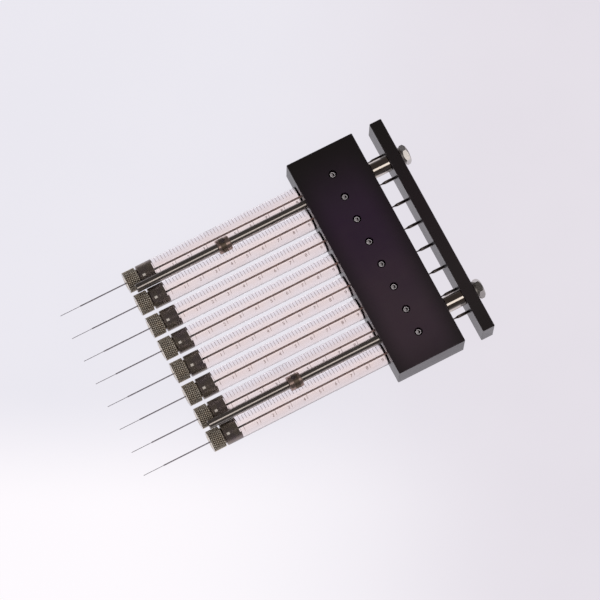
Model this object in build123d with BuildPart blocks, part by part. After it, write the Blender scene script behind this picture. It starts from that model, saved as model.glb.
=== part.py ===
from build123d import *
from math import cos, radians, sin, sqrt
import os

os.makedirs("parts", exist_ok=True)

# Eight-channel microsyringe. Eight glass syringes lie side by side in one block, and one bar on
# two guide rods drives all their plungers together.
# X runs along the syringes with the needles towards -X, Y runs along the row and Z points up.
# The origin is the centre of the block's bottom face. All lengths are in millimetres.

# Row of channels
channel_count = 8
channel_pitch = 9.0  # spacing of the wells in a 96-well plate

# Block that holds the syringes
block_depth = 25.4  # along the syringes
block_end_margin = 10.15  # outer syringe axis to the block's end
block_floor = 0.9  # metal under the syringe sockets
block_roof = 2.95  # metal above the guide rod axis
edge_break = 0.2  # chamfer along the edges of block and bar
socket_depth = 20.0
socket_web = 1.0  # metal between neighbouring sockets
socket_clearance = 0.15

# Glass barrels
bore_radius = 0.23
glass_reach = 56.3  # glass between the block and the terminator
spigot_length = 3.0  # ground end that is cemented into the terminator
terminator_wall = 1.25  # metal around the spigot
cement_gap = 0.02

# Terminators and needle nuts
terminator_length = 5.8
terminator_round = 0.3
end_slot_width = 4.4  # slot across the terminator's glass end
end_slot_depth = 0.5
neck_shoulder = 0.6  # how far the shoulder stands above the thread
neck_shoulder_length = 0.55
thread_radius = 2.2
thread_length = 3.2
seat_radius = 1.0
nut_length = 4.6
nut_step = 0.05  # nut's knurl lies this far inside the glass surface
nut_chamfer = 0.1
nut_wall = 0.75  # nut's front wall
nut_hole_clearance = 0.2
running_clearance = 0.05

# Needles
needle_radius = 0.235
needle_length = 17.6  # thick part outside the nut
tip_radius = 0.11
tip_length = 7.6
lumen_radius = 0.055
flange_inset = 0.5  # flange lies this far inside the nut's thread
flange_length = 0.6
seal_length = 1.0

# Plungers
plunger_clearance = 0.01
tip_clearance = 0.01  # soft plunger tip in the glass bore
plunger_tip_length = 2.0
tip_standoff = 0.1  # between the plunger tip and the end of the bore
wire_shown = 1.9  # wire behind the block when the plungers are home
wire_passage_clearance = 0.3
stem_radius = 0.55
stem_cone_length = 1.2
head_length = 1.0
head_clearance = 0.15

# Screws that hold the barrels and the plungers
screw_radius = 1.4
screw_thread_gap = 0.05
screw_length = 2.5
screw_recess = 0.7
screw_chamfer = 0.2
socket_flats = 1.27
socket_hex_depth = 1.1
pad_radius = 1.1

# Bar, guide rods and their fasteners
bar_gap = 6.9  # between block and bar when the plungers are home
bar_thickness = 4.5
bar_lift = 0.3  # bar's bottom above the block's bottom
clamp_depth = 3.2  # hole in the bar's back for a plunger head and its screw
rod_radius = 1.5875
rod_setback = 1.8  # from the nuts' front faces to the rods' front ends
rod_chamfer = 0.25
sleeve_wall = 1.3
home_gap = 0.05  # between the home stop and the block
washer_overhang = 0.15
washer_thickness = 0.5
rod_nut_flats = 6.35
rod_nut_thickness = 2.4
rod_nut_chamfer = 0.7
rod_nut_turns = (21.0, 0.5)  # degrees, as each nut happened to tighten
rod_stub = 0.3  # rod behind its nut

# Stop collars
collar_wall = 1.0125
collar_length = 4.76
collar_gap = 0.166  # between a collar and the barrels beside it
collar_chamfer = 0.2
collar_strokes = (29.44, 30.09)  # free travel from each collar to the block
collar_screw_radius = 0.85
collar_screw_recess = 0.15
collar_screw_turn = 22.0  # degrees from straight up
collar_socket_flats = 0.89
collar_socket_depth = 0.5

# Worked-out sizes
glass_radius = (channel_pitch - socket_web) / 2 - socket_clearance
socket_radius = glass_radius + socket_clearance
spigot_radius = glass_radius - terminator_wall
nut_radius = glass_radius - nut_step
flange_radius = thread_radius - flange_inset
collar_radius = rod_radius + collar_wall
sleeve_radius = rod_radius + sleeve_wall
wire_radius = bore_radius - plunger_clearance
screw_hole_radius = screw_radius + screw_thread_gap
head_radius = screw_hole_radius - head_clearance
rod_hole_radius = rod_radius + running_clearance
syringe_height = block_floor + socket_radius
axis_spacing = glass_radius + collar_radius + collar_gap  # from a syringe to a guide rod
rod_height = syringe_height + sqrt(axis_spacing**2 - (channel_pitch / 2) ** 2)
block_height = rod_height + block_roof
row_length = (channel_count - 1) * channel_pitch
block_length = row_length + 2 * block_end_margin

# Places along X
block_front = -block_depth / 2
block_back = block_depth / 2
glass_back = block_front + socket_depth
glass_front = block_front - glass_reach
spigot_front = glass_front - spigot_length
terminator_front = glass_front - terminator_length
shoulder_front = terminator_front - neck_shoulder_length
nut_back = shoulder_front - running_clearance
nut_front = nut_back - nut_length
thread_front = shoulder_front - thread_length
flange_front = thread_front - flange_length
nut_floor = nut_front + nut_wall
needle_shoulder = nut_front - needle_length
needle_front = needle_shoulder - tip_length
bar_front = block_back + bar_gap
bar_back = bar_front + bar_thickness
head_front = bar_back - clamp_depth
head_back = head_front + head_length
washer_back = bar_back + washer_thickness
rod_nut_back = washer_back + rod_nut_thickness
rod_front = nut_front + rod_setback
rod_back = rod_nut_back + rod_stub
plunger_front = spigot_front + tip_standoff
wire_front = plunger_front + plunger_tip_length

# Places along Y: channel 1 is at the +Y end, and each rod lies between two channels
channel_rows = [row_length / 2 - channel_pitch * i for i in range(channel_count)]
rod_rows = [(row_length - channel_pitch) / 2, (channel_pitch - row_length) / 2]
channel_points = [(y, syringe_height) for y in channel_rows]
rod_points = [(y, rod_height) for y in rod_rows]


# Writes one finished piece under its node name
def save(piece, name):
    piece.part.label = name
    export_step(piece.part, f"parts/{name}.step")


# Lathe sketch about a line parallel to X: sketch x is X and sketch y is the radius
def lathe_plane(y, height):
    return Plane(origin=(0, y, height), x_dir=(1, 0, 0), z_dir=(0, -1, 0))


def lathe_axis(y, height):
    return Axis((0, y, height), (1, 0, 0))


# Planes on a face across X, looking out of it, for holes that are drilled into it
def face_planes(x, outward, points):
    return [Plane(origin=(x, y, z), x_dir=(0, 1, 0), z_dir=(outward, 0, 0)) for y, z in points]


# Block: sockets bored from the front, rod bores right through, screw holes from the top
with BuildPart() as syringe_block:
    with BuildSketch(Plane.YZ.offset(block_front)):
        with Locations((0, block_height / 2)):
            Rectangle(block_length, block_height)
    extrude(amount=block_depth)
    chamfer(syringe_block.edges(), edge_break)
    with Locations(*face_planes(block_front, -1, channel_points)):
        CounterBoreHole(wire_radius + wire_passage_clearance, socket_radius, socket_depth)
    with Locations(*face_planes(block_front, -1, rod_points)):
        Hole(rod_hole_radius)
    with Locations(*[(0, y, block_height) for y in channel_rows]):
        Hole(screw_hole_radius, depth=block_height - syringe_height)
save(syringe_block, "syringe_block")

# Socket set screws that clamp the barrels, each on a soft pad that is hollowed to the glass
screw_top = block_height - screw_recess
screw_bottom = screw_top - screw_length
screw_places = [(0, y) for y in channel_rows]
with BuildPart() as set_screws:
    with BuildSketch(Plane.XY.offset(screw_bottom)):
        with Locations(*screw_places):
            Circle(screw_radius)
    extrude(amount=screw_length)
    chamfer(set_screws.edges().filter_by(GeomType.CIRCLE), screw_chamfer)
    with BuildSketch(Plane.XY.offset(screw_top)):
        with Locations(*screw_places):
            RegularPolygon(socket_flats / 2, 6, major_radius=False)
    extrude(amount=-socket_hex_depth, mode=Mode.SUBTRACT)
save(set_screws, "set_screws")

with BuildPart() as screw_pads:
    with BuildSketch(Plane.XY.offset(screw_bottom)):
        with Locations(*screw_places):
            Circle(pad_radius)
    extrude(amount=syringe_height - screw_bottom)
    with BuildSketch(Plane.YZ.offset(-pad_radius)):
        with Locations(*channel_points):
            Circle(glass_radius)
    extrude(amount=2 * pad_radius, mode=Mode.SUBTRACT)
save(screw_pads, "screw_pads")

for number, row in enumerate(channel_rows, 1):
    sketch_plane = lathe_plane(row, syringe_height)
    turning_axis = lathe_axis(row, syringe_height)

    # Glass barrel with its fine bore and the ground spigot at the front
    with BuildPart() as barrel:
        with BuildSketch(sketch_plane):
            with BuildLine():
                Polyline(
                    (glass_back, bore_radius),
                    (glass_back, glass_radius),
                    (glass_front, glass_radius),
                    (glass_front, spigot_radius),
                    (spigot_front, spigot_radius),
                    (spigot_front, bore_radius),
                    close=True,
                )
            make_face()
        revolve(axis=turning_axis)
    save(barrel, f"barrel_{number}")

    # Terminator: socket for the spigot, slotted end, shoulder, threaded neck and needle seat
    with BuildPart() as terminator:
        with BuildSketch(sketch_plane):
            with BuildLine():
                Polyline(
                    (glass_front, spigot_radius + cement_gap),
                    (glass_front, glass_radius),
                    (terminator_front, glass_radius),
                    (terminator_front, thread_radius + neck_shoulder),
                    (shoulder_front, thread_radius + neck_shoulder),
                    (shoulder_front, thread_radius),
                    (thread_front, thread_radius),
                    (thread_front, seat_radius),
                    (spigot_front, seat_radius),
                    (spigot_front, spigot_radius + cement_gap),
                    close=True,
                )
            make_face()
        revolve(axis=turning_axis)
        rims = terminator.edges().filter_by(GeomType.CIRCLE).group_by(SortBy.RADIUS)[-1]
        fillet(rims.sort_by(Axis.X)[0], terminator_round)
        with BuildSketch(Plane.YZ.offset(glass_front)):
            with Locations((row, syringe_height)):
                Rectangle(end_slot_width, channel_pitch)
        extrude(amount=-end_slot_depth, mode=Mode.SUBTRACT)
    save(terminator, f"terminator_{number}")

    # Needle nut: threaded on the neck, its front wall draws the needle's flange home
    with BuildPart() as needle_nut:
        with BuildSketch(sketch_plane):
            with BuildLine():
                Polyline(
                    (nut_back, thread_radius + running_clearance),
                    (nut_back, nut_radius),
                    (nut_front, nut_radius),
                    (nut_front, needle_radius + nut_hole_clearance),
                    (nut_floor, needle_radius + nut_hole_clearance),
                    (nut_floor, thread_radius + running_clearance),
                    close=True,
                )
            make_face()
        revolve(axis=turning_axis)
        rims = needle_nut.edges().filter_by(GeomType.CIRCLE).group_by(SortBy.RADIUS)[-1]
        chamfer(rims, nut_chamfer)
    save(needle_nut, f"needle_nut_{number}")

    # Needle: hub with flange, thick tube and thin tip, hollow from end to end
    with BuildPart() as needle:
        with BuildSketch(sketch_plane):
            with BuildLine():
                Polyline(
                    (spigot_front, lumen_radius),
                    (spigot_front, needle_radius),
                    (spigot_front - seal_length, needle_radius),
                    (spigot_front - seal_length, seat_radius - cement_gap),
                    (thread_front, seat_radius - cement_gap),
                    (thread_front, flange_radius),
                    (flange_front, flange_radius),
                    (flange_front, needle_radius),
                    (needle_shoulder, needle_radius),
                    (needle_shoulder, tip_radius),
                    (needle_front, tip_radius),
                    (needle_front, lumen_radius),
                    close=True,
                )
            make_face()
        revolve(axis=turning_axis)
    save(needle, f"needle_{number}")

    # Plunger: wire in the glass, cone, stem and the head that is clamped in the bar
    with BuildPart() as plunger:
        with BuildSketch(sketch_plane):
            with BuildLine():
                Polyline(
                    (wire_front, 0),
                    (wire_front, wire_radius),
                    (block_back + wire_shown, wire_radius),
                    (block_back + wire_shown + stem_cone_length, stem_radius),
                    (head_front, stem_radius),
                    (head_front, head_radius),
                    (head_back, head_radius),
                    (head_back, 0),
                    close=True,
                )
            make_face()
        revolve(axis=turning_axis)
    save(plunger, f"plunger_{number}")

# Soft rings between the needle hubs and the glass
with BuildPart() as needle_seals:
    with BuildSketch(Plane.YZ.offset(spigot_front - seal_length)):
        with Locations(*channel_points):
            Circle(seat_radius - cement_gap)
            Circle(needle_radius, mode=Mode.SUBTRACT)
    extrude(amount=seal_length)
save(needle_seals, "needle_seals")

# Soft tips on the front ends of the plunger wires
with BuildPart() as plunger_tips:
    with BuildSketch(Plane.YZ.offset(plunger_front)):
        with Locations(*channel_points):
            Circle(bore_radius - tip_clearance)
    extrude(amount=plunger_tip_length)
save(plunger_tips, "plunger_tips")

# Bar: a stepped hole for each plunger and a plain one for each guide rod
with BuildPart() as plunger_bar:
    with BuildSketch(Plane.YZ.offset(bar_front)):
        with Locations((0, (block_height + bar_lift) / 2)):
            Rectangle(block_length, block_height - bar_lift)
    extrude(amount=bar_thickness)
    chamfer(plunger_bar.edges(), edge_break)
    with Locations(*face_planes(bar_back, 1, channel_points)):
        CounterBoreHole(stem_radius + running_clearance, screw_hole_radius, clamp_depth)
    with Locations(*face_planes(bar_back, 1, rod_points)):
        Hole(rod_hole_radius)
save(plunger_bar, "plunger_bar")

# Socket set screws in the bar's back that clamp the plunger heads
clamp_screw_length = clamp_depth - head_length - screw_thread_gap
with BuildPart() as plunger_screws:
    with BuildSketch(Plane.YZ.offset(head_back)):
        with Locations(*channel_points):
            Circle(screw_radius)
    extrude(amount=clamp_screw_length)
    chamfer(plunger_screws.edges().filter_by(GeomType.CIRCLE), screw_chamfer)
    with BuildSketch(Plane.YZ.offset(head_back + clamp_screw_length)):
        with Locations(*channel_points):
            RegularPolygon(socket_flats / 2, 6, major_radius=False)
    extrude(amount=-socket_hex_depth, mode=Mode.SUBTRACT)
save(plunger_screws, "plunger_screws")

for number, (row, stroke) in enumerate(zip(rod_rows, collar_strokes), 1):
    # Guide rod that slides in the block and is threaded for a nut behind the bar
    with BuildPart() as guide_rod:
        with BuildSketch(Plane.YZ.offset(rod_front)):
            with Locations((row, rod_height)):
                Circle(rod_radius)
        extrude(amount=rod_back - rod_front)
        chamfer(guide_rod.edges().filter_by(GeomType.CIRCLE), rod_chamfer)
    save(guide_rod, f"guide_rod_{number}")

    # Sleeve pressed on the rod: it spaces the bar and stops on the block at zero
    with BuildPart() as stop_sleeve:
        with BuildSketch(Plane.YZ.offset(block_back + home_gap)):
            with Locations((row, rod_height)):
                Circle(sleeve_radius)
                Circle(rod_radius, mode=Mode.SUBTRACT)
        extrude(amount=bar_gap - home_gap)
        rims = stop_sleeve.edges().filter_by(GeomType.CIRCLE).group_by(SortBy.RADIUS)[-1]
        chamfer(rims, rod_chamfer)
    save(stop_sleeve, f"stop_sleeve_{number}")

    # Stop collar: a ring with one tapped cross hole, set for its stroke
    collar_back = block_front - stroke
    collar_middle = collar_back - collar_length / 2
    tilt = radians(collar_screw_turn)
    screw_direction = (0, sin(tilt), cos(tilt))
    rod_centre = Plane(origin=(collar_middle, row, rod_height), z_dir=screw_direction)
    with BuildPart() as stop_collar:
        with BuildSketch(Plane.YZ.offset(collar_back - collar_length)):
            with Locations((row, rod_height)):
                Circle(collar_radius)
                Circle(rod_hole_radius, mode=Mode.SUBTRACT)
        extrude(amount=collar_length)
        rims = stop_collar.edges().filter_by(GeomType.CIRCLE).group_by(SortBy.RADIUS)[-1]
        chamfer(rims, collar_chamfer)
        with BuildSketch(rod_centre):
            Circle(collar_screw_radius + cement_gap)
        extrude(amount=collar_radius, mode=Mode.SUBTRACT)
    save(stop_collar, f"stop_collar_{number}")

    # Its set screw, just clear of the rod and sunk a little below the collar's surface
    screw_foot = rod_hole_radius
    screw_head = collar_radius - collar_screw_recess
    with BuildPart() as collar_screw:
        with BuildSketch(rod_centre.offset(screw_foot)):
            Circle(collar_screw_radius)
        extrude(amount=screw_head - screw_foot)
        with BuildSketch(rod_centre.offset(screw_head)):
            RegularPolygon(collar_socket_flats / 2, 6, major_radius=False)
        extrude(amount=-collar_socket_depth, mode=Mode.SUBTRACT)
    save(collar_screw, f"collar_screw_{number}")

# Washers and hexagon nuts that hold the bar on the guide rods
with BuildPart() as rod_washers:
    with BuildSketch(Plane.YZ.offset(bar_back)):
        with Locations(*rod_points):
            Circle(rod_nut_flats / 2 + washer_overhang)
            Circle(rod_hole_radius, mode=Mode.SUBTRACT)
    extrude(amount=washer_thickness)
save(rod_washers, "rod_washers")

nut_corner_radius = rod_nut_flats / sqrt(3)
with BuildPart() as rod_nuts:
    with BuildSketch(Plane.YZ.offset(washer_back)):
        with Locations(*rod_points):
            Circle(nut_corner_radius)
    extrude(amount=rod_nut_thickness)
    chamfer(rod_nuts.edges().filter_by(GeomType.CIRCLE), rod_nut_chamfer)
    with BuildSketch(Plane.YZ.offset(washer_back)):
        for point, turn in zip(rod_points, rod_nut_turns):
            with Locations(point):
                RegularPolygon(nut_corner_radius, 6, rotation=turn)
    extrude(amount=rod_nut_thickness, mode=Mode.INTERSECT)
    with BuildSketch(Plane.YZ.offset(washer_back)):
        with Locations(*rod_points):
            Circle(rod_radius)
    extrude(amount=rod_nut_thickness, mode=Mode.SUBTRACT)
save(rod_nuts, "rod_nuts")
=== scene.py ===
import math

import bmesh
import bpy
import numpy as np
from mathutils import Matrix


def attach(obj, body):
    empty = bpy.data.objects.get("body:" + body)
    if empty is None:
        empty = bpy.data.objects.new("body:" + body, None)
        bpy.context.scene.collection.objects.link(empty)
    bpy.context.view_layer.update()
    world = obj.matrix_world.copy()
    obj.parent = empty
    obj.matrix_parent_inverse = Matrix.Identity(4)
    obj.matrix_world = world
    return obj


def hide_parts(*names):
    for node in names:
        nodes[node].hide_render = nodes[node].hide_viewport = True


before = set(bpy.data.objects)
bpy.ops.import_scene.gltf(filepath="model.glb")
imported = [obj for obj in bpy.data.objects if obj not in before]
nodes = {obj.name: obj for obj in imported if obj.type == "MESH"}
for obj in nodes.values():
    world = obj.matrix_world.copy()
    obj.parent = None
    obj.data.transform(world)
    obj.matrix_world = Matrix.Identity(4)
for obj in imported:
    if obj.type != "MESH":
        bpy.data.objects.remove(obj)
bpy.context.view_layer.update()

mm = 0.001

# Where things are, in millimetres, in the frame's own axes
row = dict(
    channels=8,
    pitch=9.0,
    firstRow=31.5,  # channel 1, at the +Y end
    axisHeight=4.9,
    glassRadius=3.85,
)
rowCentres = [row["firstRow"] - row["pitch"] * k for k in range(row["channels"])]


def inMetres(values):
    return [value * mm for value in values]


# Colour as it looks in a picture, 0 to 255, made linear for the shaders
def paint(red, green, blue):
    picture = np.array([red, green, blue]) / 255
    linear = np.where(picture <= 0.04045, picture / 12.92, ((picture + 0.055) / 1.055) ** 2.4)
    return (*[float(part) for part in linear], 1.0)


def addNode(tree, kind, **settings):
    node = tree.nodes.new(kind)
    for label, value in settings.items():
        setattr(node, label, value)
    return node


# Sets or links a node's input: a socket is linked, anything else is written into it
def feed(tree, node, label, value):
    if isinstance(value, bpy.types.NodeSocket):
        tree.links.new(value, node.inputs[label])
    else:
        node.inputs[label].default_value = value


def sums(tree, operation, *values):
    node = addNode(tree, "ShaderNodeMath", operation=operation)
    for place, value in enumerate(values):
        feed(tree, node, place, value)
    return node.outputs[0]


def vectorSums(tree, operation, *values):
    node = addNode(tree, "ShaderNodeVectorMath", operation=operation)
    for place, value in enumerate(values):
        feed(tree, node, place, value)
    return node.outputs["Vector"]


# The three parts of a vector, taken by "X", "Y" and "Z"
def splitUp(tree, vector):
    node = addNode(tree, "ShaderNodeSeparateXYZ")
    feed(tree, node, 0, vector)
    return node.outputs


# Runs smoothly from toLow to toHigh while value runs from fromLow to fromHigh
def spread(tree, value, fromLow, fromHigh, toLow=0.0, toHigh=1.0):
    node = addNode(tree, "ShaderNodeMapRange", interpolation_type="SMOOTHSTEP")
    for label, part in zip(("Value", "From Min", "From Max", "To Min", "To Max"),
                           (value, fromLow, fromHigh, toLow, toHigh)):
        feed(tree, node, label, part)
    return node.outputs["Result"]


def blendColours(tree, share, first, second):
    node = addNode(tree, "ShaderNodeMix", data_type="RGBA")
    feed(tree, node, 0, share)
    feed(tree, node, 6, first)
    feed(tree, node, 7, second)
    return node.outputs[2]


def noiseAt(tree, position, scale, detail=2.0, roughness=0.5):
    node = addNode(tree, "ShaderNodeTexNoise")
    feed(tree, node, "Vector", position)
    feed(tree, node, "Scale", scale)
    feed(tree, node, "Detail", detail)
    feed(tree, node, "Roughness", roughness)
    return node.outputs["Fac"]


# An empty node group with its named sockets: inputs are (name, kind, value), outputs (name, kind)
def startGroup(name, inputs, outputs):
    group = bpy.data.node_groups.new(name, "ShaderNodeTree")
    for label, kind, value in inputs:
        socket = group.interface.new_socket(name=label, in_out="INPUT", socket_type=kind)
        if value is not None:
            socket.default_value = value
    for label, kind in outputs:
        group.interface.new_socket(name=label, in_out="OUTPUT", socket_type=kind)
    return group, group.nodes.new("NodeGroupInput"), group.nodes.new("NodeGroupOutput")


def useGroup(tree, group, **values):
    node = addNode(tree, "ShaderNodeGroup", node_tree=group)
    for label, value in values.items():
        feed(tree, node, label, value)
    return node


# Fine grain of a blasted or ground surface, and a slow change of shade over it
def makeGrainGroup():
    group, given, result = startGroup(
        "fineGrain",
        [("Position", "NodeSocketVector", None), ("Grain", "NodeSocketFloat", 2600.0),
         ("Cloud", "NodeSocketFloat", 120.0)],
        [("Height", "NodeSocketFloat"), ("Shade", "NodeSocketFloat")],
    )
    height = noiseAt(group, given.outputs["Position"], given.outputs["Grain"], 2.0, 0.6)
    cloud = noiseAt(group, given.outputs["Position"], given.outputs["Cloud"], 3.0, 0.55)
    group.links.new(height, result.inputs["Height"])
    group.links.new(spread(group, cloud, 0.3, 0.7), result.inputs["Shade"])
    return group


# Handling marks: roughness wanders between Low and High, with a few finer streaks along X
def makeHandlingGroup():
    group, given, result = startGroup(
        "handlingMarks",
        [("Position", "NodeSocketVector", None), ("Size", "NodeSocketFloat", 90.0),
         ("Low", "NodeSocketFloat", 0.2), ("High", "NodeSocketFloat", 0.3)],
        [("Roughness", "NodeSocketFloat")],
    )
    smudge = noiseAt(group, given.outputs["Position"], given.outputs["Size"], 4.0, 0.6)
    stretched = vectorSums(group, "MULTIPLY", given.outputs["Position"], (0.06, 1.0, 1.0))
    streak = noiseAt(group, stretched, 2200.0, 1.0, 0.5)
    mixed = sums(group, "MULTIPLY_ADD", streak, 0.35, sums(group, "MULTIPLY", smudge, 0.65))
    group.links.new(
        spread(group, mixed, 0.32, 0.68, given.outputs["Low"], given.outputs["High"]),
        result.inputs["Roughness"])
    return group


# Rings left by turning or grinding about a line parallel to X: noise that changes along X alone
def makeRingGroup():
    group, given, result = startGroup(
        "turnedRings",
        [("Position", "NodeSocketVector", None), ("Rings", "NodeSocketFloat", 9000.0)],
        [("Height", "NodeSocketFloat")],
    )
    split = splitUp(group, given.outputs["Position"])
    along = sums(group, "MULTIPLY", split["X"], given.outputs["Rings"])
    noise = addNode(group, "ShaderNodeTexNoise", noise_dimensions="1D")
    feed(group, noise, "W", along)
    feed(group, noise, "Scale", 1.0)
    feed(group, noise, "Detail", 2.0)
    group.links.new(noise.outputs["Fac"], result.inputs["Height"])
    return group


# Tilts the normal towards +X or -X, ring by ring, as the flanks of fine turned grooves do:
# tilt = sign(c) * Low + c * (High - Low), where c is a random value from -1 to 1 for each ring
def makeFanGroup():
    group, given, result = startGroup(
        "turnedFan",
        [("Position", "NodeSocketVector", None), ("Rings", "NodeSocketFloat", 70000.0),
         ("Low", "NodeSocketFloat", 0.05), ("High", "NodeSocketFloat", 0.8),
         ("Share", "NodeSocketFloat", 1.0)],
        [("Normal", "NodeSocketVector")],
    )
    split = splitUp(group, given.outputs["Position"])
    ring = sums(group, "FLOOR", sums(group, "MULTIPLY", split["X"], given.outputs["Rings"]))
    chance = addNode(group, "ShaderNodeTexWhiteNoise", noise_dimensions="1D")
    feed(group, chance, "W", ring)
    c = sums(group, "MULTIPLY_ADD", chance.outputs["Value"], 2.0, -1.0)
    over = sums(group, "SUBTRACT", given.outputs["High"], given.outputs["Low"])
    tilt = sums(group, "MULTIPLY_ADD", sums(group, "SIGN", c), given.outputs["Low"],
                sums(group, "MULTIPLY", c, over))
    side = addNode(group, "ShaderNodeCombineXYZ")
    feed(group, side, "X", sums(group, "MULTIPLY", tilt, given.outputs["Share"]))
    leaning = vectorSums(group, "ADD", addNode(group, "ShaderNodeNewGeometry").outputs["Normal"],
                         side.outputs[0])
    group.links.new(vectorSums(group, "NORMALIZE", leaning), result.inputs["Normal"])
    return group


# Wear along a box's edges: the second smallest distance to a face is small only near an edge
def makeBoxEdgeGroup():
    group, given, result = startGroup(
        "boxEdgeWear",
        [("Position", "NodeSocketVector", None), ("Centre", "NodeSocketVector", (0, 0, 0)),
         ("Half", "NodeSocketVector", (0.01, 0.01, 0.01)), ("Width", "NodeSocketFloat", 0.0005)],
        [("Wear", "NodeSocketFloat")],
    )
    offset = vectorSums(group, "SUBTRACT", given.outputs["Position"], given.outputs["Centre"])
    inset = vectorSums(group, "SUBTRACT", given.outputs["Half"], vectorSums(group, "ABSOLUTE", offset))
    x, y, z = splitUp(group, inset)
    lowest = sums(group, "MINIMUM", sums(group, "MINIMUM", x, y), z)
    highest = sums(group, "MAXIMUM", sums(group, "MAXIMUM", x, y), z)
    total = sums(group, "ADD", sums(group, "ADD", x, y), z)
    middle = sums(group, "SUBTRACT", sums(group, "SUBTRACT", total, lowest), highest)
    ragged = noiseAt(group, given.outputs["Position"], 900.0, 4.0, 0.7)
    width = sums(group, "MULTIPLY", given.outputs["Width"], spread(group, ragged, 0.35, 0.7, 0.2, 1.6))
    group.links.new(spread(group, middle, 0.0, width, 1.0, 0.0), result.inputs["Wear"])
    return group


# How far a point lies from the middle of its own channel, towards +Y, when channels are Pitch apart
# and the row is even about Y = 0: y plus a whole number of pitches, modulo the pitch, minus half of it
def makeChannelGroup():
    group, given, result = startGroup(
        "channelAcross",
        [("Position", "NodeSocketVector", None), ("Pitch", "NodeSocketFloat", 0.009)],
        [("Across", "NodeSocketFloat")],
    )
    split = splitUp(group, given.outputs["Position"])
    pitch = given.outputs["Pitch"]
    shifted = sums(group, "MULTIPLY_ADD", pitch, 8.0, split["Y"])
    inPitch = sums(group, "MODULO", shifted, pitch)
    group.links.new(sums(group, "MULTIPLY_ADD", pitch, -0.5, inPitch), result.inputs["Across"])
    return group


channelGroup = makeChannelGroup()
grainGroup = makeGrainGroup()
handlingGroup = makeHandlingGroup()
ringGroup = makeRingGroup()
fanGroup = makeFanGroup()
boxEdgeGroup = makeBoxEdgeGroup()


# A material with its Principled shader, its object position and its values that stay the same all over
def startMaterial(name, **fixed):
    material = bpy.data.materials.new(name)
    material.use_nodes = True
    tree = material.node_tree
    shader = tree.nodes["Principled BSDF"]
    for label, value in fixed.items():
        shader.inputs[label.replace("_", " ")].default_value = value
    position = addNode(tree, "ShaderNodeTexCoord").outputs["Object"]
    return material, tree, shader, position


# Bump from a height that runs from 0 to 1, as deep as depth millimetres
def roughen(tree, shader, height, depth):
    bump = addNode(tree, "ShaderNodeBump")
    feed(tree, bump, "Height", height)
    feed(tree, bump, "Distance", depth * mm)
    feed(tree, bump, "Strength", 1.0)
    tree.links.new(bump.outputs["Normal"], shader.inputs["Normal"])


# Roughness from handling marks of one size, between the two values of rough
def smudge(tree, shader, position, size, rough):
    marks = useGroup(tree, handlingGroup, Position=position, Size=size, Low=rough[0], High=rough[1])
    tree.links.new(marks.outputs["Roughness"], shader.inputs["Roughness"])


# Black anodised aluminium: nearly black at the corners, with a painted glow of lamp light in purple across
# the middle, worn at its edges
anodised = dict(
    dark=paint(24, 18, 19),
    worn=paint(92, 84, 88),
    wearWidth=0.28,
    wearShare=0.55,
    drift=0.35,  # how far the two hues wander into each other
    rough=(0.28, 0.34),
    grainDepth=0.004,
)
# violet and brown are the hues of the painted glow, and the glow centres and reaches say where it fades out
blockShade = dict(
    centre=(0, 0, 6.35), half=(12.7, 41.65, 6.35), ior=1.55,
    violet=paint(43, 23, 45), brown=paint(54, 38, 48), turnReach=(-26.0, 14.0),
    glowAcrossCentre=-0.5, glowAcrossReach=(5.0, 16.5), glowAlongCentre=-7.0, glowAlongReach=(22.0, 50.0),
)
barShade = dict(
    centre=(21.85, 0, 6.5), half=(2.25, 41.65, 6.2), ior=1.76,
    violet=paint(31, 18, 25), brown=paint(35, 24, 27), turnReach=(-26.0, 14.0),
    glowAcrossCentre=21.85, glowAcrossReach=(1.0, 6.0), glowAlongCentre=-6.0, glowAlongReach=(10.0, 50.0),
)


def makeAnodised(name, shade):
    material, tree, shader, position = startMaterial(name, Metallic=0.0, IOR=shade["ior"])
    grain = useGroup(tree, grainGroup, Position=position, Grain=4200.0, Cloud=75.0)
    split = splitUp(tree, position)
    # painted glow of the lamp: across the middle of the block the colour is lighter and purple, fading to
    # near black at the corners, and its hue turns from brown to violet along +Y
    across = sums(tree, "ABSOLUTE", sums(tree, "SUBTRACT", split["X"], shade["glowAcrossCentre"] * mm))
    along = sums(tree, "ABSOLUTE", sums(tree, "SUBTRACT", split["Y"], shade["glowAlongCentre"] * mm))
    middle = sums(tree, "MULTIPLY",
                  spread(tree, across, *inMetres(shade["glowAcrossReach"]), 1.0, 0.0),
                  spread(tree, along, *inMetres(shade["glowAlongReach"]), 1.0, 0.0))
    turn = spread(tree, split["Y"], *inMetres(shade["turnReach"]))
    turn = sums(tree, "MULTIPLY_ADD", sums(tree, "SUBTRACT", grain.outputs["Shade"], 0.5),
                anodised["drift"], turn)
    hue = blendColours(tree, turn, shade["brown"], shade["violet"])
    colour = blendColours(tree, middle, anodised["dark"], hue)
    edge = useGroup(tree, boxEdgeGroup, Position=position, Centre=inMetres(shade["centre"]),
                    Half=inMetres(shade["half"]), Width=anodised["wearWidth"] * mm)
    wear = sums(tree, "MULTIPLY", edge.outputs["Wear"], anodised["wearShare"])
    tree.links.new(blendColours(tree, wear, colour, anodised["worn"]), shader.inputs["Base Color"])
    smudge(tree, shader, position, 70.0, anodised["rough"])
    roughen(tree, shader, grain.outputs["Height"], anodised["grainDepth"])
    return material


# Bare and plated metals: two close tints that drift into each other, rings or grain, smudges
def makeMetal(name, tintA, tintB, rough, rings=None, depth=0.0003, metallic=1.0):
    material, tree, shader, position = startMaterial(name, Metallic=metallic)
    drift = useGroup(tree, grainGroup, Position=position, Grain=5000.0, Cloud=150.0)
    tree.links.new(blendColours(tree, drift.outputs["Shade"], tintA, tintB), shader.inputs["Base Color"])
    smudge(tree, shader, position, 260.0, rough)
    if rings:
        turned = useGroup(tree, ringGroup, Position=position, Rings=rings)
        roughen(tree, shader, turned.outputs["Height"], depth)
    else:
        roughen(tree, shader, drift.outputs["Height"], depth)
    return material


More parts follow.
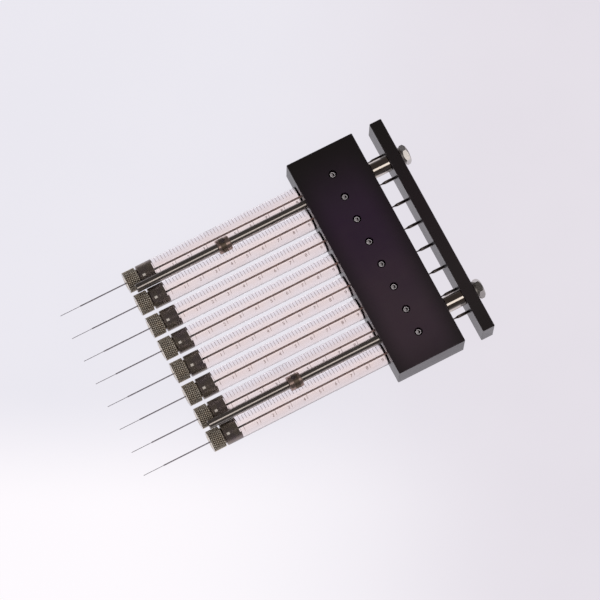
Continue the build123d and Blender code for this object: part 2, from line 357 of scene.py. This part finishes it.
# Clear glass: faintly cream over the scale, cooler at its edges, with a trace of grinding haze
glass = dict(clear=paint(250, 248, 252), cream=paint(251, 234, 226), rough=(0.0, 0.02),
             nearReach=(-4.7, -1.3), farReach=(0.4, 2.7))  # where the cream fades in and out, across


def makeGlass():
    material, tree, shader, position = startMaterial(
        "barrelGlass", Metallic=0.0, Transmission_Weight=1.0, IOR=1.48)
    across = useGroup(tree, channelGroup, Position=position, Pitch=row["pitch"] * mm).outputs["Across"]
    share = sums(tree, "MULTIPLY",
                 spread(tree, across, *inMetres(glass["nearReach"])),
                 spread(tree, across, *inMetres(glass["farReach"]), 1.0, 0.0))
    haze = useGroup(tree, grainGroup, Position=position, Grain=3000.0, Cloud=200.0)
    share = sums(tree, "MULTIPLY", share, spread(tree, haze.outputs["Shade"], 0.0, 1.0, 0.75, 1.0))
    tree.links.new(blendColours(tree, share, glass["clear"], glass["cream"]), shader.inputs["Base Color"])
    smudge(tree, shader, position, 120.0, glass["rough"])
    return material


# Soft white or cream plastic with a faint mottle
def makePlastic(name, tintA, tintB, rough):
    material, tree, shader, position = startMaterial(name, Metallic=0.0, IOR=1.4)
    grain = useGroup(tree, grainGroup, Position=position, Grain=3500.0, Cloud=500.0)
    tree.links.new(blendColours(tree, grain.outputs["Shade"], tintA, tintB), shader.inputs["Base Color"])
    smudge(tree, shader, position, 300.0, rough)
    roughen(tree, shader, grain.outputs["Height"], 0.003)
    return material


# Fired enamel of the scale: dark brown, thin in places
enamel = dict(tints=(paint(126, 100, 96), paint(148, 122, 118)), rough=(0.45, 0.6), grainDepth=0.001)


def makeEnamel():
    material, tree, shader, position = startMaterial("firedScale", Metallic=0.0, IOR=1.5)
    grain = useGroup(tree, grainGroup, Position=position, Grain=9000.0, Cloud=1500.0)
    tree.links.new(blendColours(tree, grain.outputs["Shade"], *enamel["tints"]), shader.inputs["Base Color"])
    smudge(tree, shader, position, 600.0, enamel["rough"])
    roughen(tree, shader, grain.outputs["Height"], enamel["grainDepth"])
    return material


# Terminators: turned all over, so the grooves fan a reflection out along X, but for one smooth spot, whose
# lighter colour is a painted highlight
# land and landAcross place the smooth spot along and across the barrel, across at the lamp's reflection, and
# its lighter tint is a painted highlight
satin = dict(tintA=paint(124, 111, 112), tintB=paint(142, 130, 117), rough=(0.2, 0.28), fan=(0.05, 0.8),
             land=(-73.85, -72.9), landEdge=0.08, landAcross=(-1.0, 0.35, 0.6), paintedHighlightTint=paint(160, 155, 150),
             landRough=0.14)


def makeTurnedSatin():
    material, tree, shader, position = startMaterial("turnedSatin", Metallic=0.8)
    drift = useGroup(tree, grainGroup, Position=position, Grain=5000.0, Cloud=220.0)
    split = splitUp(tree, position)
    start, stop, edge = (satin["land"][0] * mm, satin["land"][1] * mm, satin["landEdge"] * mm)
    onSmoothSpotAndHighlight = sums(tree, "MULTIPLY", spread(tree, split["X"], start - edge, start),
                  spread(tree, split["X"], stop, stop + edge, 1.0, 0.0))
    across = useGroup(tree, channelGroup, Position=position, Pitch=row["pitch"] * mm).outputs["Across"]
    middle, near, far = (value * mm for value in satin["landAcross"])
    fromSpot = sums(tree, "ABSOLUTE", sums(tree, "SUBTRACT", across, middle))
    onSmoothSpotAndHighlight = sums(tree, "MULTIPLY", onSmoothSpotAndHighlight, spread(tree, fromSpot, near, far, 1.0, 0.0))
    colour = blendColours(tree, drift.outputs["Shade"], satin["tintA"], satin["tintB"])
    # painted highlight: inside the spot the colour turns lighter
    tree.links.new(blendColours(tree, onSmoothSpotAndHighlight, colour, satin["paintedHighlightTint"]), shader.inputs["Base Color"])
    handling = useGroup(tree, handlingGroup, Position=position, Size=260.0, Low=satin["rough"][0],
                        High=satin["rough"][1])
    offSmoothSpotAndHighlight = sums(tree, "SUBTRACT", 1.0, onSmoothSpotAndHighlight)
    rough = sums(tree, "ADD", sums(tree, "MULTIPLY", handling.outputs["Roughness"], offSmoothSpotAndHighlight),
                 sums(tree, "MULTIPLY", onSmoothSpotAndHighlight, satin["landRough"]))
    tree.links.new(rough, shader.inputs["Roughness"])
    turned = useGroup(tree, fanGroup, Position=position, Low=satin["fan"][0], High=satin["fan"][1],
                      Share=offSmoothSpotAndHighlight)
    tree.links.new(turned.outputs["Normal"], shader.inputs["Normal"])
    return material


# Stop collars: dark steel, rougher round the set screw in the middle, where a darker colour is painted shade
# that breaks the highlight, and lighter towards the ends
collar = dict(middle=-44.85, shadeAndRoughReach=(0.85, 1.15), paintedShadeTint=(paint(118, 103, 91), paint(132, 116, 103)),
              bright=(paint(168, 146, 138), paint(180, 158, 150)), rough=(0.22, 0.3),
              dullRough=0.16, fan=(0.0, 0.12))


def makeCollarSteel():
    material, tree, shader, position = startMaterial("stopCollarSteel", Metallic=0.87)
    drift = useGroup(tree, grainGroup, Position=position, Grain=5200.0, Cloud=500.0)
    split = splitUp(tree, position)
    away = sums(tree, "ABSOLUTE", sums(tree, "SUBTRACT", split["X"], collar["middle"] * mm))
    # painted shade: round the set screw the colour is darker and the surface rougher, fading out towards the
    # ends
    towardsEnds = spread(tree, away, *inMetres(collar["shadeAndRoughReach"]))
    paintedShadeTint = blendColours(tree, drift.outputs["Shade"], *collar["paintedShadeTint"])
    bright = blendColours(tree, drift.outputs["Shade"], *collar["bright"])
    tree.links.new(blendColours(tree, towardsEnds, paintedShadeTint, bright), shader.inputs["Base Color"])
    handling = useGroup(tree, handlingGroup, Position=position, Size=400.0, Low=collar["rough"][0],
                        High=collar["rough"][1])
    dulled = sums(tree, "MULTIPLY", sums(tree, "SUBTRACT", 1.0, towardsEnds), collar["dullRough"])
    tree.links.new(sums(tree, "ADD", handling.outputs["Roughness"], dulled), shader.inputs["Roughness"])
    turned = useGroup(tree, fanGroup, Position=position, Low=collar["fan"][0], High=collar["fan"][1])
    tree.links.new(turned.outputs["Normal"], shader.inputs["Normal"])
    return material


# Plungers: the wire is stained brown where it runs in the glass, and the stem is bare steel
plungerLook = dict(
    wireTints=(paint(112, 88, 80), paint(130, 106, 98)),
    stemTints=(paint(122, 114, 110), paint(140, 132, 128)),
    stemReach=(13.4, 14.4),
    rough=(0.24, 0.32),
)


def makePlungerSteel():
    material, tree, shader, position = startMaterial("plungerSteel", Metallic=1.0)
    drift = useGroup(tree, grainGroup, Position=position, Grain=5000.0, Cloud=400.0)
    split = splitUp(tree, position)
    wire = blendColours(tree, drift.outputs["Shade"], *plungerLook["wireTints"])
    stem = blendColours(tree, drift.outputs["Shade"], *plungerLook["stemTints"])
    bare = spread(tree, split["X"], *inMetres(plungerLook["stemReach"]))
    tree.links.new(blendColours(tree, bare, wire, stem), shader.inputs["Base Color"])
    smudge(tree, shader, position, 400.0, plungerLook["rough"])
    roughen(tree, shader, drift.outputs["Height"], 0.0002)
    return material


# Knurled nickel: the mesh says how deep in a groove each point lies, and a darker colour there is painted
# shade in the grooves
knurled = dict(crest=(paint(240, 224, 202), paint(248, 238, 222)), groove=paint(90, 78, 70), metallic=0.7,
               rough=(0.36, 0.46), shadeReach=(0.12, 0.75), face=paint(244, 242, 243), faceReach=(-79.98, -79.94))

# Rim of a set screw, in the same way: what lies in shade is painted dark
ringSteel = dict(crest=(paint(226, 218, 222), paint(240, 232, 235)), groove=paint(40, 35, 34), metallic=0.5,
                 rough=(0.4, 0.48), shadeReach=(0.1, 0.9))


def makeKnurled(name, look):
    material, tree, shader, position = startMaterial(name, Metallic=look["metallic"])
    drift = useGroup(tree, grainGroup, Position=position, Grain=6000.0, Cloud=400.0)
    crest = blendColours(tree, drift.outputs["Shade"], *look["crest"])
    depth = addNode(tree, "ShaderNodeAttribute", attribute_name="groove").outputs["Fac"]
    # painted shade: the deeper a point lies in a groove, the darker its colour
    share = spread(tree, depth, *look["shadeReach"])
    colour = blendColours(tree, share, crest, look["groove"])
    if "face" in look:  # the front end face is lighter
        onFace = spread(tree, splitUp(tree, position)["X"], *inMetres(look["faceReach"]), 1.0, 0.0)
        colour = blendColours(tree, onFace, colour, look["face"])
    tree.links.new(colour, shader.inputs["Base Color"])
    smudge(tree, shader, position, 500.0, look["rough"])
    roughen(tree, shader, drift.outputs["Height"], 0.003)
    return material


blockFinish = makeAnodised("blackAnodisedBlock", blockShade)
barFinish = makeAnodised("blackAnodisedBar", barShade)
glassFinish = makeGlass()
satinFinish = makeTurnedSatin()
knurlFinish = makeKnurled("knurledNickel", knurled)
rodFinish = makeMetal("groundRod", paint(170, 163, 158), paint(181, 174, 169), (0.13, 0.19), rings=5000.0,
                      metallic=0.95)
sleeveFinish = makeMetal("polishedSleeve", paint(214, 205, 196), paint(224, 216, 208), (0.09, 0.14),
                         rings=4000.0)
collarFinish = makeCollarSteel()
nickelFinish = makeMetal("fastenerNickel", paint(194, 190, 186), paint(206, 202, 198), (0.16, 0.22),
                         metallic=0.94)
washerFinish = makeMetal("washerNickel", paint(200, 196, 192), paint(214, 210, 206), (0.46, 0.56),
                         depth=0.0006)
screwFinish = makeMetal("socketScrewSteel", paint(200, 192, 196), paint(216, 208, 212), (0.34, 0.44),
                        depth=0.002)
screwRingFinish = makeKnurled("screwRingSteel", ringSteel)
needleFinish = makeMetal("needleSteel", paint(188, 182, 190), paint(202, 197, 204), (0.2, 0.28),
                         rings=12000.0)
plungerFinish = makePlungerSteel()
softFinish = makePlastic("whiteSeal", paint(232, 232, 228), paint(240, 240, 236), (0.4, 0.5))
padFinish = makePlastic("nylonPad", paint(222, 214, 196), paint(230, 224, 208), (0.45, 0.6))
enamelFinish = makeEnamel()

nodeFinishes = {
    "syringe_block": blockFinish, "plunger_bar": barFinish,
    "barrel": glassFinish, "terminator": satinFinish, "needle_nut": knurlFinish,
    "guide_rod": rodFinish, "stop_sleeve": sleeveFinish,
    "stop_collar": collarFinish, "collar_screw": screwFinish,
    "rod_nuts": nickelFinish, "rod_washers": washerFinish,
    "set_screws": screwFinish, "plunger_screws": screwFinish,
    "plunger_tips": softFinish, "needle_seals": softFinish, "screw_pads": padFinish,
    "plunger": plungerFinish, "needle": needleFinish,
}
for name, piece in nodes.items():
    family = name.rstrip("0123456789").rstrip("_")
    for slot in piece.material_slots:
        slot.material = nodeFinishes[family]
print("finishes on", len(nodes), "CAD nodes")


# Diamond knurl between plain chamfers, on a turned body with its thread bore and needle hole
knurl = dict(
    front=-80.0,
    back=-75.4,
    radius=3.8,
    chamfer=0.1,
    bore=2.25,
    hole=0.435,
    wall=0.75,
    count=26,  # diamonds around
    samples=12,  # grid steps in one diamond, even so that crests and grooves fall on the grid
    depth=0.26,
    flat=0.3,  # share of each ridge that is left flat on top
    faceRing=2.7,  # end faces are turned a little hollow inside this radius
    faceDish=0.12,
    bevel=0.15,  # at the dish's rim and the bore's mouth
    turnEach=0.37,  # each nut stopped this much further round than the last
)


def meshPiece(name, points, faces, finish, smooth=False, values=None):
    mesh = bpy.data.meshes.new(name)
    mesh.from_pydata(points.tolist(), [], faces if isinstance(faces, list) else faces.tolist())
    mesh.polygons.foreach_set("use_smooth", np.broadcast_to(smooth, len(mesh.polygons)).astype(bool))
    for label, numbers in (values or {}).items():
        mesh.attributes.new(label, "FLOAT", "POINT").data.foreach_set("value", numbers.ravel())
    mesh.update()
    mesh.materials.append(finish)
    piece = bpy.data.objects.new(name, mesh)
    bpy.context.scene.collection.objects.link(piece)
    return piece


# Four-sided faces between rings of points: (i, j), (i + 1, j), (i + 1, j + 1), (i, j + 1)
def ringFaces(rings, around, closed=False):
    i, j = np.meshgrid(np.arange(rings if closed else rings - 1), np.arange(around), indexing="ij")
    nextI, nextJ = (i + 1) % rings, (j + 1) % around
    return np.stack([i * around + j, nextI * around + j, nextI * around + nextJ, i * around + nextJ],
                    axis=-1).reshape(-1, 4)


# Three-sided faces from the ring that starts at point number first to a pole, or turned over
def poleFaces(first, around, pole, over=False):
    j = np.arange(around)
    ring = [first + j, first + (j + 1) % around]
    return np.stack([*(ring[::-1] if over else ring), np.full(around, pole)], axis=-1)


# Surface of the nut: a closed profile (x, r) turned about the syringe's axis. On the knurled length
# r loses depth * (1 - min(a, b)) beyond the flat tops, where a and b are the heights of two crossing
# sets of V ridges: each is a triangle wave of (turn + x) and (turn - x), both counted in diamonds
def knurledNut(name, centreY, turn):
    size = knurl
    step = 2 * math.pi * size["radius"] / size["count"] / size["samples"]
    knurlFront, knurlBack = size["front"] + size["chamfer"], size["back"] - size["chamfer"]
    steps = int(round((knurlBack - knurlFront) / step))
    along = np.linspace(knurlFront, knurlBack, steps + 1)
    lip = size["radius"] - size["chamfer"]
    floor, bevel = size["front"] + size["wall"], size["bevel"]
    before = np.array([
        (size["front"] + size["faceDish"], size["hole"]),
        (size["front"] + size["faceDish"], size["faceRing"]),
        (size["front"], size["faceRing"] + bevel), (size["front"], lip)])
    after = np.array([
        (size["back"], lip), (size["back"], size["bore"] + bevel), (size["back"] - bevel, size["bore"]),
        (floor, size["bore"]), (floor, size["hole"])])
    x = np.concatenate([before[:, 0], along, after[:, 0]])
    r = np.concatenate([before[:, 1], np.full(steps + 1, size["radius"]), after[:, 1]])
    around = size["count"] * size["samples"]
    angle = np.arange(around) * 2 * math.pi / around
    turns = angle[None, :] * size["count"] / (2 * math.pi)
    travel = (x[:, None] - knurlFront) / (step * size["samples"])
    ridgeA = np.abs((turns + travel) % 1 * 2 - 1)
    ridgeB = np.abs((turns - travel) % 1 * 2 - 1)
    groove = np.clip((1 - np.minimum(ridgeA, ridgeB) - size["flat"]) / (1 - size["flat"]), 0, 1)
    onKnurl = ((x >= knurlFront - 1e-9) & (x <= knurlBack + 1e-9) & (r > lip + 1e-9))[:, None]
    fade = np.clip(np.minimum(x - size["front"], size["back"] - x) / (size["chamfer"] + step), 0, 1)[:, None]
    groove = np.where(onKnurl, groove * fade, 0)
    radius = r[:, None] - size["depth"] * groove
    theta = angle[None, :] + turn
    points = np.stack([
        np.broadcast_to(x[:, None], radius.shape),
        centreY + radius * np.sin(theta),
        row["axisHeight"] + radius * np.cos(theta)], axis=-1).reshape(-1, 3) * mm
    faces = ringFaces(len(x), around, closed=True)
    return meshPiece(name, points, faces, knurlFinish, values={"groove": groove})


for number, centre in enumerate(rowCentres, 1):
    nut = knurledNut(f"knurledNut_{number}", centre, knurl["turnEach"] * number)
    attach(nut, f"nut_{number}")
    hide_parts(f"needle_nut_{number}")
print("knurled nuts made")


# Set screws of the block: a rounded ring with a hexagon socket, in a thread painted dark as shade
screw = dict(
    top=12.0,
    bottom=9.5,
    across=1.27,  # socket, flat to flat
    socketDepth=0.9,
    floorShadeDepth=0.7,
    floorShade=(0.45, 1.1),  # shade in the middle of the floor, and what it gains with each mm along X
    turnEach=0.9,
    around=72,
    # profile from the rim of the foot to the rim of the socket's floor: radius, height under the top, how
    # far it follows the hexagon, and how deep in shade it lies, the last two from 0 to 1
    ring=((1.4, -0.7, 0, 1), (1.2, -0.4, 0, 1), (1.05, -0.2, 0, 1), (0.97, -0.09, 0, 1),
          (0.91, -0.03, 0, 0.3), (0.85, 0, 0, 0), (0.78, -0.015, 0, 0), (0.7, -0.06, 0.6, 0),
          (0.65, -0.13, 1, 0.4), (0.635, -0.2, 1, 1), (0.635, -0.65, 1, 1), (0.57, -0.75, 1, 0)),
)


# Radius on ring n at angle a: r + h * (apothem / cos(a mod 60 - 30) - apothem), h how hexagonal it is
def socketScrews(name):
    size = screw
    angle = np.arange(size["around"]) * 2 * math.pi / size["around"]
    ring = np.array(size["ring"])
    under = size["bottom"] - size["top"]
    foot = np.array([(1.2, under, 0, 1), (1.4, under + 0.2, 0, 1)])
    rings = np.concatenate([foot, ring])
    apothem = size["across"] / 2
    corner = apothem / np.cos((angle % (math.pi / 3)) - math.pi / 6) - apothem
    radius = rings[:, :1] + rings[:, 2:3] * corner[None, :]
    shape = np.stack([radius * np.cos(angle), radius * np.sin(angle),
                      np.broadcast_to(size["top"] + rings[:, 1:2], radius.shape)], axis=-1).reshape(-1, 3)
    poles = np.array([(0, 0, size["bottom"]), (0, 0, size["top"] - size["socketDepth"])])
    shape = np.concatenate([shape, poles])
    around, footPole = size["around"], len(rings) * size["around"]
    # the rings run from the foot over the rim into the socket, so their faces are turned over
    quads = np.roll(ringFaces(len(rings), around)[:, ::-1], 1, axis=1)
    footFan = poleFaces(0, around, footPole, over=True)
    floorFan = poleFaces(footPole - around, around, footPole + 1)
    inShade = np.concatenate([np.repeat(rings[:, 3], around), [1, 0]])
    # each screw stopped at its own angle, and every socket's floor has painted shade that darkens towards +X
    points, faces, shades = [], [], []
    for number, centre in enumerate(rowCentres):
        turn = size["turnEach"] * number
        c, s = math.cos(turn), math.sin(turn)
        spin = np.array([(c, s, 0), (-s, c, 0), (0, 0, 1)])
        turned = shape @ spin
        points.append(turned + (0, centre, 0))
        onFloor = turned[:, 2] < size["top"] - size["floorShadeDepth"]
        onFloor[:2 * around] = False
        middle, gain = size["floorShade"]
        # painted shade: the socket's floor darkens towards +X, and each ring is as dark as the shade it lies
        # in
        shades.append(np.where(onFloor, np.clip(middle + gain * turned[:, 0], 0, 1), inShade))
        for part in (quads, footFan, floorFan):
            faces += (part + number * len(shape)).tolist()
    return meshPiece(name, np.concatenate(points) * mm, faces, screwRingFinish,
                     values={"groove": np.concatenate(shades)})


screws = socketScrews("socketScrews")
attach(screws, "holder")
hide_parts("set_screws")
print("set screws made")


# Plungers: the wire is a hair wider than the bore, so that no layer of air hides its edge in the glass
plunger = dict(
    around=48,
    # profile from tip to head: place along the syringe, radius
    profile=((-69.9, 0.16), (-69.84, 0.2305), (14.45, 0.2305), (14.6, 0.24), (14.75, 0.275), (15.6, 0.5),
             (15.75, 0.535), (15.9, 0.55), (20.9, 0.55), (20.9, 1.22), (20.98, 1.3), (21.82, 1.3),
             (21.9, 1.22)),
)


# A closed turned surface: every point of the profile (x, r) goes round to (x, r sin a, r cos a)
def turnedPiece(name, centreY, profile, around, finish):
    profile = np.array(profile)
    angle = np.arange(around) * 2 * math.pi / around
    x, r = profile[:, :1], profile[:, 1:]
    shape = np.stack([np.broadcast_to(x, (len(profile), around)), centreY + r * np.sin(angle),
                      row["axisHeight"] + r * np.cos(angle)], axis=-1).reshape(-1, 3)
    poles = np.array([(profile[end, 0], centreY, row["axisHeight"]) for end in (0, -1)])
    quads = ringFaces(len(profile), around)
    tip = poleFaces(0, around, len(shape))
    head = poleFaces(len(shape) - around, around, len(shape) + 1, over=True)
    smooth = np.concatenate([np.full(len(quads), True), np.full(2 * around, False)])
    points = np.concatenate([shape, poles]) * mm
    return meshPiece(name, points, quads.tolist() + tip.tolist() + head.tolist(), finish, smooth)


for number, centre in enumerate(rowCentres, 1):
    wire = turnedPiece(f"plungerWire_{number}", centre, plunger["profile"], plunger["around"], plungerFinish)
    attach(wire, "bar_carriage")
    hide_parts(f"plunger_{number}")
print("plungers made")


# Fired scale on each barrel: ticks and numbers
scale = dict(
    firstTick=-67.7,
    tickPitch=1.2,
    ticks=47,
    tickWidth=0.13,
    tickReach=(0.95, 3.1),  # lateral reach of a tick on the +Y side
    longReach=(0.95, 3.3),  # every fifth tick
    crossReach=(-2.6, -0.95),  # its other end on the -Y side
    lift=0.012,
    longEvery=5,
    numberHeight=1.25,
    fontShare=1.4,  # font size for a digit one high
    numberRow=-2.3,  # lateral centre of the numbers
    numberBack=1.15,  # number stands this far before its tick
)


# Angle from straight up, towards +Y, of a place that lies this far across the barrel
def angleAcross(across):
    return np.arcsin(np.clip(np.asarray(across, float) / row["glassRadius"], -1, 1))


# Flat plates wrapped round the barrel: plate n is the box of along[n] by angle[n] by the lift,
# cut into rings of angle, each corner at (x, centre + r sin a, height + r cos a)
def wrappedPlates(along, angles, cuts=8):
    share = np.linspace(0, 1, cuts + 1)
    a = angles[:, :1] + (angles[:, 1:] - angles[:, :1]) * share  # plate, ring
    r = np.array([row["glassRadius"] + 0.001, row["glassRadius"] + scale["lift"]])
    plates = len(along)
    x = np.broadcast_to(along[:, None, :, None], (plates, cuts + 1, 2, 2))
    angle = np.broadcast_to(a[:, :, None, None], x.shape)
    radius = np.broadcast_to(r[None, None, None, :], x.shape)
    points = np.stack([x, radius * np.sin(angle), radius * np.cos(angle)], axis=-1).reshape(-1, 3)
    ring = np.array([0, 1, 3, 2])  # corners of one ring in order round the plate's section
    sides = np.array([[ring[k], ring[(k + 1) % 4], ring[(k + 1) % 4] + 4, ring[k] + 4] for k in range(4)])
    walls = (sides[None] + 4 * np.arange(cuts)[:, None, None]).reshape(-1, 4)
    ends = np.stack([ring[::-1], ring + 4 * cuts])
    faces = np.concatenate([walls, ends])
    return points, (faces[None] + (4 * (cuts + 1) * np.arange(plates))[:, None, None]).reshape(-1, 4)


# A number as a thin solid, flat at first: u along the barrel, v across it, w its thickness
def flatNumber(text):
    curve = bpy.data.curves.new("number", "FONT")
    curve.body = text
    curve.size = scale["numberHeight"] * scale["fontShare"]
    curve.align_x = "CENTER"
    curve.align_y = "CENTER"
    curve.extrude = (scale["lift"] - 0.001) / 2
    curve.resolution_u = 3
    holder = bpy.data.objects.new("number", curve)
    bpy.context.scene.collection.objects.link(holder)
    mesh = bpy.data.meshes.new_from_object(holder.evaluated_get(bpy.context.evaluated_depsgraph_get()))
    bpy.data.objects.remove(holder)
    work = bmesh.new()
    work.from_mesh(mesh)
    bmesh.ops.remove_doubles(work, verts=work.verts, dist=1e-5)
    for cut in np.arange(-1.2, 1.21, 0.2):
        bmesh.ops.bisect_plane(work, geom=work.verts[:] + work.edges[:] + work.faces[:],
                               plane_co=(0, cut + 0.013, 0), plane_no=(0, 1, 0))
    bmesh.ops.triangulate(work, faces=work.faces)
    bmesh.ops.recalc_face_normals(work, faces=work.faces)
    work.to_mesh(mesh)
    work.free()
    flat = np.empty(len(mesh.vertices) * 3)
    mesh.vertices.foreach_get("co", flat)
    corners = np.empty(len(mesh.loops), dtype=int)
    mesh.loops.foreach_get("vertex_index", corners)
    bpy.data.meshes.remove(mesh)
    bpy.data.curves.remove(curve)
    return flat.reshape(-1, 3), corners.reshape(-1, 3)


# Wraps a flat number: the way across becomes an arc, a = a0 + v / r, and thickness adds to r
def wrapNumber(flat, x):
    base = row["glassRadius"] + (scale["lift"] + 0.001) / 2
    angle = angleAcross(scale["numberRow"]) + flat[:, 1] / base
    radius = base + flat[:, 2]
    return np.stack([x + flat[:, 0], radius * np.sin(angle), radius * np.cos(angle)], axis=-1)


tickPlaces = scale["firstTick"] + scale["tickPitch"] * np.arange(scale["ticks"])
isLong = np.arange(scale["ticks"]) % scale["longEvery"] == 0
half = scale["tickWidth"] / 2
tickAlong = np.stack([tickPlaces - half, tickPlaces + half], axis=-1)
tickAngles = np.where(isLong[:, None], angleAcross(scale["longReach"]), angleAcross(scale["tickReach"]))
crossAngles = np.broadcast_to(angleAcross(scale["crossReach"]), (int(isLong.sum()), 2))
plateAlong = np.concatenate([tickAlong, tickAlong[isLong]])
plateAngles = np.concatenate([tickAngles, crossAngles])
platePoints, plateFaces = wrappedPlates(plateAlong, plateAngles)
numberPoints, numberFaces, count = [], [], 0
for mark, place in enumerate(tickPlaces[isLong]):
    if mark == 0:
        continue
    flat, corners = flatNumber(str(mark))
    numberPoints.append(wrapNumber(flat, place - scale["numberBack"]))
    numberFaces.append(corners + count)
    count += len(flat)
numberPoints, numberFaces = np.concatenate(numberPoints), np.concatenate(numberFaces)


def firedScale(name, centreY):
    lifted = np.array([0, centreY, row["axisHeight"]])
    points = (np.concatenate([platePoints, numberPoints]) + lifted) * mm
    faces = plateFaces.tolist() + (numberFaces + len(platePoints)).tolist()
    return meshPiece(name, points, faces, enamelFinish)


for number, centre in enumerate(rowCentres, 1):
    marks = firedScale(f"firedScale_{number}", centre)
    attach(marks, "holder")
print("scales made")


# Light table under the instrument
table = dict(
    reach=2.5,  # metres each way
    cool=paint(234, 232, 240),
    warm=paint(228, 223, 231),
    bright=paint(255, 251, 255),
    centre=(-0.029, 0.0, 0.0),
    near=(-0.463, -0.886, 0.0),  # towards the table's near edge
    left=(-0.887, 0.461, 0.0),
    warmReach=(-0.08, 0.03),  # along left, from warm to cool
    brightNear=(0.03, 0.075),  # where the bright corner fades in, along near and along left
    brightLeft=(-0.10, 0.07),
    brightShare=0.95,
    mottle=0.06,
    below=0.00002,  # metres under the instrument
    glow=0.97,  # share of the table's light that comes from the table itself
    grazing=(0.5, 0.94, 0.14),  # in reflections it dims to the last share between these facing values
)


def makeTable():
    mesh = bpy.data.meshes.new("lightTable")
    reach = table["reach"]
    corners = [(-reach, -reach, 0), (reach, -reach, 0), (reach, reach, 0), (-reach, reach, 0)]
    mesh.from_pydata([(x, y, -table["below"]) for x, y, _ in corners], [], [(0, 1, 2, 3)])
    material = bpy.data.materials.new("lightTable")
    material.use_nodes = True
    material.cycles.emission_sampling = "NONE"
    tree = material.node_tree
    shader = tree.nodes["Principled BSDF"]
    shader.inputs["Roughness"].default_value = 0.9
    shader.inputs["Specular IOR Level"].default_value = 0.0
    position = addNode(tree, "ShaderNodeTexCoord").outputs["Object"]
    offset = vectorSums(tree, "SUBTRACT", position, table["centre"])
    reaches = []
    for side in ("near", "left"):
        dot = addNode(tree, "ShaderNodeVectorMath", operation="DOT_PRODUCT")
        feed(tree, dot, 0, offset)
        feed(tree, dot, 1, table[side])
        reaches.append(dot.outputs["Value"])
    # Coolest at the left, warmest at the right, brightest at the near left corner
    near, left = reaches
    colour = blendColours(tree, spread(tree, left, *table["warmReach"]), table["warm"], table["cool"])
    glowing = sums(tree, "MULTIPLY", spread(tree, near, *table["brightNear"]),
                   spread(tree, left, *table["brightLeft"], 0.0, table["brightShare"]))
    colour = blendColours(tree, glowing, colour, table["bright"])
    grain = useGroup(tree, grainGroup, Position=position, Grain=900.0, Cloud=14.0)
    mottle = sums(tree, "MULTIPLY", grain.outputs["Shade"], table["mottle"])
    colour = blendColours(tree, mottle, colour, table["bright"])
    lit = addNode(tree, "ShaderNodeVectorMath", operation="SCALE")
    feed(tree, lit, 0, colour)
    feed(tree, lit, "Scale", 1 - table["glow"])
    tree.links.new(lit.outputs[0], shader.inputs["Base Color"])
    path = addNode(tree, "ShaderNodeLightPath")
    seen = sums(tree, "MAXIMUM", path.outputs["Is Camera Ray"], path.outputs["Is Glossy Ray"])
    seen = sums(tree, "MAXIMUM", seen, path.outputs["Is Transmission Ray"])
    facing = addNode(tree, "ShaderNodeLayerWeight").outputs["Facing"]
    dimmed = spread(tree, facing, *table["grazing"][:2], 1.0, table["grazing"][2])
    inReflection = path.outputs["Is Glossy Ray"]
    share = sums(tree, "MULTIPLY_ADD", sums(tree, "SUBTRACT", dimmed, 1.0), inReflection, 1.0)
    strength = sums(tree, "MULTIPLY", sums(tree, "MULTIPLY", seen, table["glow"]), share)
    tree.links.new(colour, shader.inputs["Emission Color"])
    tree.links.new(strength, shader.inputs["Emission Strength"])
    mesh.materials.append(material)
    piece = bpy.data.objects.new("lightTable", mesh)
    bpy.context.scene.collection.objects.link(piece)


makeTable()

room = dict(
    level=0.95,  # light on matt surfaces
    seen=paint(232, 229, 237),
    overhead=(0.045, 0.037, 0.035, 1),
    horizon=(0.10, 0.095, 0.10, 1),
    horizonTop=0.35,  # height in the sky at which the overhead tone is reached
)


# Room: pale where the camera or glass sees it, even light for matt surfaces, dark in reflections
def makeRoom():
    world = bpy.data.worlds.new("room")
    bpy.context.scene.world = world
    world.use_nodes = True
    world.cycles.sampling_method = "NONE"
    tree = world.node_tree
    background = tree.nodes["Background"]
    direction = addNode(tree, "ShaderNodeTexCoord").outputs["Generated"]
    height = spread(tree, splitUp(tree, direction)["Z"], 0.0, room["horizonTop"])
    ceiling = blendColours(tree, height, room["horizon"], room["overhead"])
    path = addNode(tree, "ShaderNodeLightPath")
    even = (room["level"], room["level"], room["level"], 1)
    colour = blendColours(tree, path.outputs["Is Glossy Ray"], even, ceiling)
    direct = sums(tree, "MAXIMUM", path.outputs["Is Camera Ray"], path.outputs["Is Transmission Ray"])
    tree.links.new(blendColours(tree, direct, colour, room["seen"]), background.inputs["Color"])


makeRoom()

lamp = dict(aim=(-0.029, 0.0, 0.0), towards=(0.127, -0.31, 0.942), distance=1.3, radius=0.33, radiance=1.25,
            tint=(1.0, 0.955, 0.92))


def makeLamp():
    light = bpy.data.lights.new("softLamp", "AREA")
    light.shape = "DISK"
    light.size = 2 * lamp["radius"]
    light.energy = lamp["radiance"] * math.pi * math.pi * lamp["radius"] ** 2
    light.color = lamp["tint"]
    piece = bpy.data.objects.new("softLamp", light)
    bpy.context.scene.collection.objects.link(piece)
    towards = np.array(lamp["towards"]) / np.linalg.norm(lamp["towards"])
    piece.location = np.array(lamp["aim"]) + towards * lamp["distance"]
    # a lamp shines along its own -Z, so its Z is turned to point away from the aim
    piece.rotation_euler = (math.asin(-towards[1]), math.atan2(towards[0], towards[2]), 0)


makeLamp()

view = dict(place=(-198.3404, -304.6703, 1289.3138), turn=(0.2638804, -0.0072283, -0.4806099), lens=232.6075)
camera = bpy.data.cameras.new("camera")
camera.lens = view["lens"]
camera.sensor_width = 36
camera.clip_end = 20
cameraPiece = bpy.data.objects.new("camera", camera)
cameraPiece.location = [part * mm for part in view["place"]]
cameraPiece.rotation_euler = view["turn"]
bpy.context.scene.collection.objects.link(cameraPiece)
bpy.context.scene.camera = cameraPiece
bpy.context.scene.view_settings.view_transform = "Standard"
print("table, lamps and camera placed")
